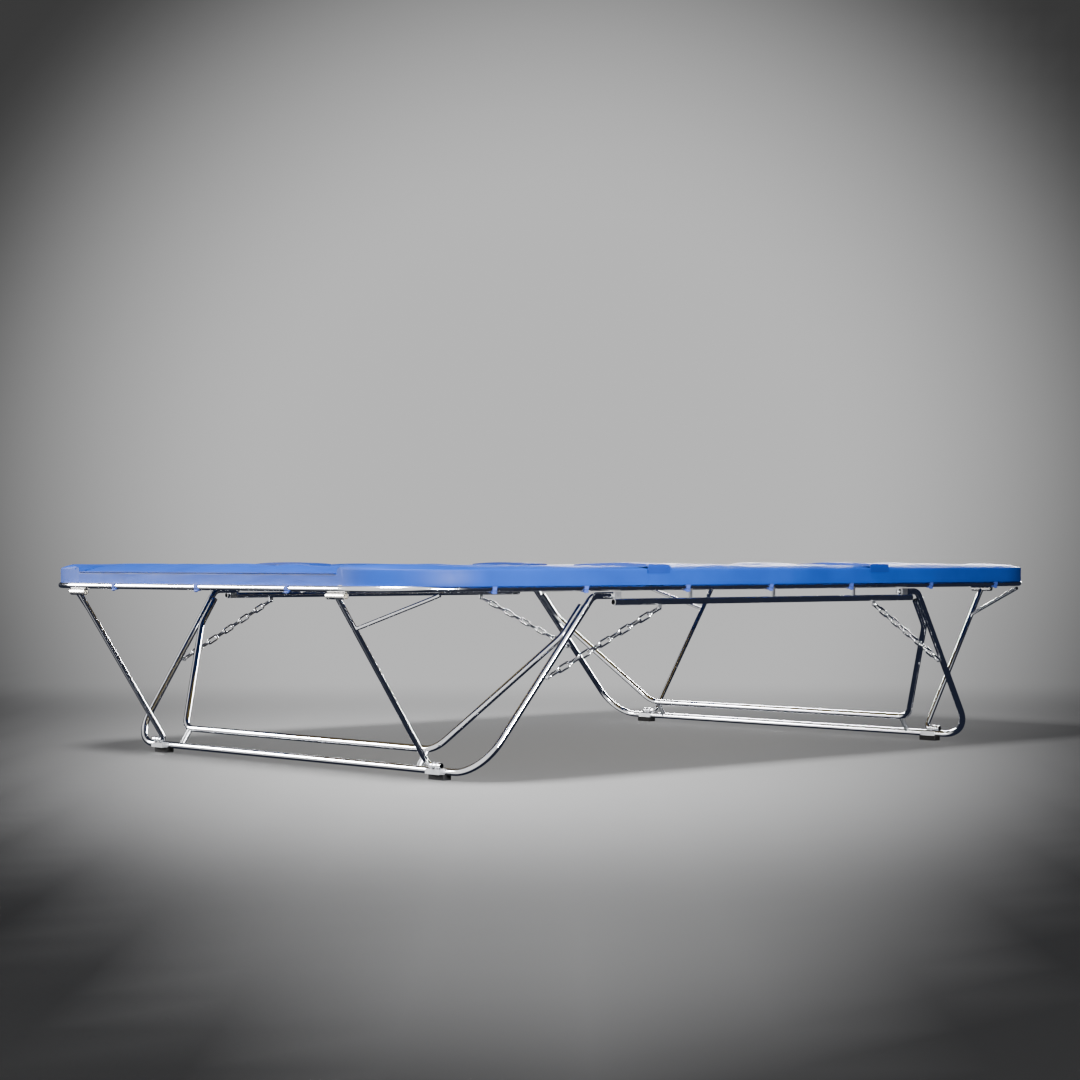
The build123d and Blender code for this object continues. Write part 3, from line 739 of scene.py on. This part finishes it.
def end_row(sx, edge_x):
    """Places of the springs of one end."""
    span = BED_Y - SPRING_MARGIN
    rows = [-span + 2 * span * i / (END_SPRINGS - 1) for i in range(END_SPRINGS)]
    return [spring_place(sx * edge_x, y, math.pi if sx > 0 else 0) for y in rows]


def make_springs():
    edge_y, edge_x = TUBE_Y - TUBE_RADIUS, TUBE_X - TUBE_RADIUS
    side_spring = spring_template(edge_y - BED_Y)
    end_spring = spring_template(edge_x - BED_X)
    middle_x = FOLD_X - SPRING_MARGIN
    middle = side_row(edge_y, -middle_x, middle_x, MIDDLE_SPRINGS)
    pieces = {"springs_middle": ("middle", copied(side_spring, middle))}
    for end, sx in ENDS.items():
        first, last = sx * (FOLD_X + SPRING_MARGIN), sx * (BED_X - SPRING_MARGIN)
        sides = copied(side_spring, side_row(edge_y, first, last, SIDE_SPRINGS))
        row = copied(end_spring, end_row(sx, edge_x))
        pieces[f"springs_{end}"] = (f"end_{end}", merged("springs", [sides, row]))
    for node, (body, mesh) in pieces.items():
        smooth(mesh)
        piece = new_piece(f"{node}_coils", mesh)
        dress(piece, "spring_steel")
        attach(piece, body)
        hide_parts(node)


def make_chains():
    for end, sx in ENDS.items():
        for side in SIDES:
            node = f"chain_{end}_{side}"
            piece = new_piece(f"{node}_links", NODES[node].data.copy())
            dress(piece, "chain_steel")
            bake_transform(piece)
            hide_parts(node)


# ------------------------------------------------------------------ stage and light
# Floor albedo, and the emission of floor and backdrop that stands in for studio light: painted glow.
FLOOR_TONE = 0.15
FLOOR_PAINTED_GLOW = 0.36
WALL_PAINTED_GLOW = 0.63
FLOOR_START, FLOOR_STOP, HALF_STAGE = -16.0, 16.0, 14.0
COVE_RADIUS, WALL_TOP = 6.0, 12.0
FLOOR_STEPS, COVE_STEPS, WALL_STEPS, STAGE_ROWS = 80, 16, 12, 70
# Painted pool of light over floor and backdrop, centred in the view, turning to painted shade towards its
# rims.
POOL_ACROSS, POOL_UP, POOL_CORE, POOL_EDGE, POOL_FALL = 0.004, 0.033, 0.11, 0.175, 0.945
STUDIO_BRIGHT = (-0.94, 0.0, 0.33)
STUDIO_NAVY = (0.012, 0.015, 0.028, 1)
STUDIO_STRENGTH = 1.15
LAMP_SPREAD = 90


def area_light(name, place, target, width, height, power):
    """Rectangular lamp at place that looks at target."""
    data = bpy.data.lights.new(name, "AREA")
    data.shape = "RECTANGLE"
    data.size = width
    data.size_y = height
    data.energy = power
    data.spread = math.radians(LAMP_SPREAD)
    light = bpy.data.objects.new(name, data)
    light.location = place
    light.rotation_euler = (Vector(target) - Vector(place)).to_track_quat("-Z", "Y").to_euler()
    bpy.context.scene.collection.objects.link(light)
    return light


def painted_light_pool(point):
    """How bright the painted pool of light is towards a point, from 1 in the middle down to nearly 0 at the
    rims, where it is painted shade.
    """
    ray = point - Vector(CAMERA_PLACE)
    depth = max(ray.dot(FORWARD), 1.5)
    across, up = ray.dot(RIGHT) / depth - POOL_ACROSS, ray.z / depth - POOL_UP
    return 1 - POOL_FALL * eased(rising(math.hypot(across, up), POOL_CORE, POOL_EDGE))


def stage_profile():
    """Points of the stage from front to back: flat floor, quarter-circle cove and wall."""
    run = FLOOR_STOP - FLOOR_START
    profile = [(FLOOR_START + run * i / FLOOR_STEPS, 0.0) for i in range(FLOOR_STEPS + 1)]
    for i in range(1, COVE_STEPS + 1):
        angle = math.pi / 2 * i / COVE_STEPS
        profile.append((FLOOR_STOP + COVE_RADIUS * math.sin(angle), COVE_RADIUS * (1 - math.cos(angle))))
    rise = WALL_TOP - COVE_RADIUS
    for i in range(1, WALL_STEPS + 1):
        profile.append((FLOOR_STOP + COVE_RADIUS, COVE_RADIUS + rise * i / WALL_STEPS))
    return profile


def stage_material():
    """Pale paint that takes its tone, with painted shade in it, and its painted glow, which stands in for
    studio light, from the mesh.
    """
    shader = Shader("floor", Roughness=0.62, Specular_IOR_Level=0.25, Emission_Strength=1.0)
    tone, painted_glow = shader.nodes.new("ShaderNodeAttribute"), shader.nodes.new("ShaderNodeAttribute")
    tone.attribute_name, painted_glow.attribute_name = "tone", "painted_glow"
    speckle = shader.ramp(shader.noise(3.0, 4, 0.55), [(0.3, 0.97), (0.7, 1.0)])
    shader.colour(shader.math("MULTIPLY", tone.outputs["Fac"], speckle))
    shader.links.new(painted_glow.outputs["Fac"], shader.principled.inputs["Emission Color"])
    return shader.material


def make_stage():
    """Floor that runs back into a backdrop: lit by the lamp near the part, where some painted glow is
    added, and glowing by itself with painted light elsewhere; a painted pool of light over all of it turns
    to painted shade at the rims.
    """
    profile = stage_profile()
    vertices, shaded_tones, painted_glows = [], [], []
    for along, up in profile:
        # share of the stage that glows by itself with painted light instead of taking lamp light
        glowing = eased(rising(abs(along + 1), 3.5, 4.5))
        for j in range(STAGE_ROWS + 1):
            across = -HALF_STAGE + 2 * HALF_STAGE * j / STAGE_ROWS
            point = FORWARD * along + RIGHT * across + Vector((0, 0, up))
            vertices.append(tuple(point))
            # painted pool of light: painted shade towards the rims, in both the base colour and the glow
            painted_pool = painted_light_pool(point)
            shaded_tones.append(FLOOR_TONE * (1 - glowing) * painted_pool)
            painted_glows.append(WALL_PAINTED_GLOW * (FLOOR_PAINTED_GLOW + (1 - FLOOR_PAINTED_GLOW) * glowing) * painted_pool)
    mesh = bpy.data.meshes.new("floor")
    mesh.from_pydata(vertices, [], grid_faces(len(profile) - 1, STAGE_ROWS))
    smooth(mesh)
    for name, values in (("tone", shaded_tones), ("painted_glow", painted_glows)):
        attribute = mesh.attributes.new(name, "FLOAT", "POINT")
        attribute.data.foreach_set("value", np.asarray(values, np.float32))
    floor = new_piece("floor", mesh)
    floor.data.materials.append(stage_material())
    floor.visible_glossy = False


def make_world():
    """Studio walls: white on the side of the near end, navy elsewhere."""
    world = bpy.data.worlds.new("world")
    world.use_nodes = True
    nodes, links = world.node_tree.nodes, world.node_tree.links
    place = nodes.new("ShaderNodeTexCoord")
    toward = nodes.new("ShaderNodeVectorMath")
    toward.operation = "DOT_PRODUCT"
    toward.inputs[1].default_value = Vector(STUDIO_BRIGHT).normalized()
    links.new(place.outputs["Generated"], toward.inputs[0])
    ramp = nodes.new("ShaderNodeValToRGB")
    low, high = ramp.color_ramp.elements
    low.position, low.color = 0.22, STUDIO_NAVY
    high.position, high.color = 0.50, (1.0, 1.0, 1.0, 1)
    links.new(toward.outputs["Value"], ramp.inputs["Fac"])
    links.new(ramp.outputs["Color"], nodes["Background"].inputs["Color"])
    nodes["Background"].inputs["Strength"].default_value = STUDIO_STRENGTH
    bpy.context.scene.world = world


def make_lights():
    """A lamp overhead for everything, and three beside the part that leave the floor out."""
    area_light("top", (-5.0, -1.5, 6.8), (0, 0, 0), 2.0, 2.0, 860)
    beside = [
        area_light("left", (-5.8, 6.4, 2.9), (-2.3, 0.2, 0.9), 3.4, 2.2, 400),
        area_light("front", (-2.6, -6.4, 1.6), (-1.4, -1.5, 0.93), 2.2, 1.4, 480),
        area_light("rim", (7.5, 4.5, 1.9), (0.0, -1.0, 1.0), 5.0, 1.6, 520),
    ]
    off_floor = bpy.data.collections.new("off_floor")
    off_floor.objects.link(bpy.data.objects["floor"])
    off_floor.collection_objects[0].light_linking.link_state = "EXCLUDE"
    for light in beside:
        light.light_linking.receiver_collection = off_floor


make_camera()
dress_cad_nodes()
make_pads()
for end_name in ENDS:
    for side_name in SIDES:
        make_cover(end_name, side_name)
        make_fold_skirt(end_name, side_name)
    make_bed(end_name)
make_straps()
make_springs()
make_chains()
make_stage()
make_world()
make_lights()
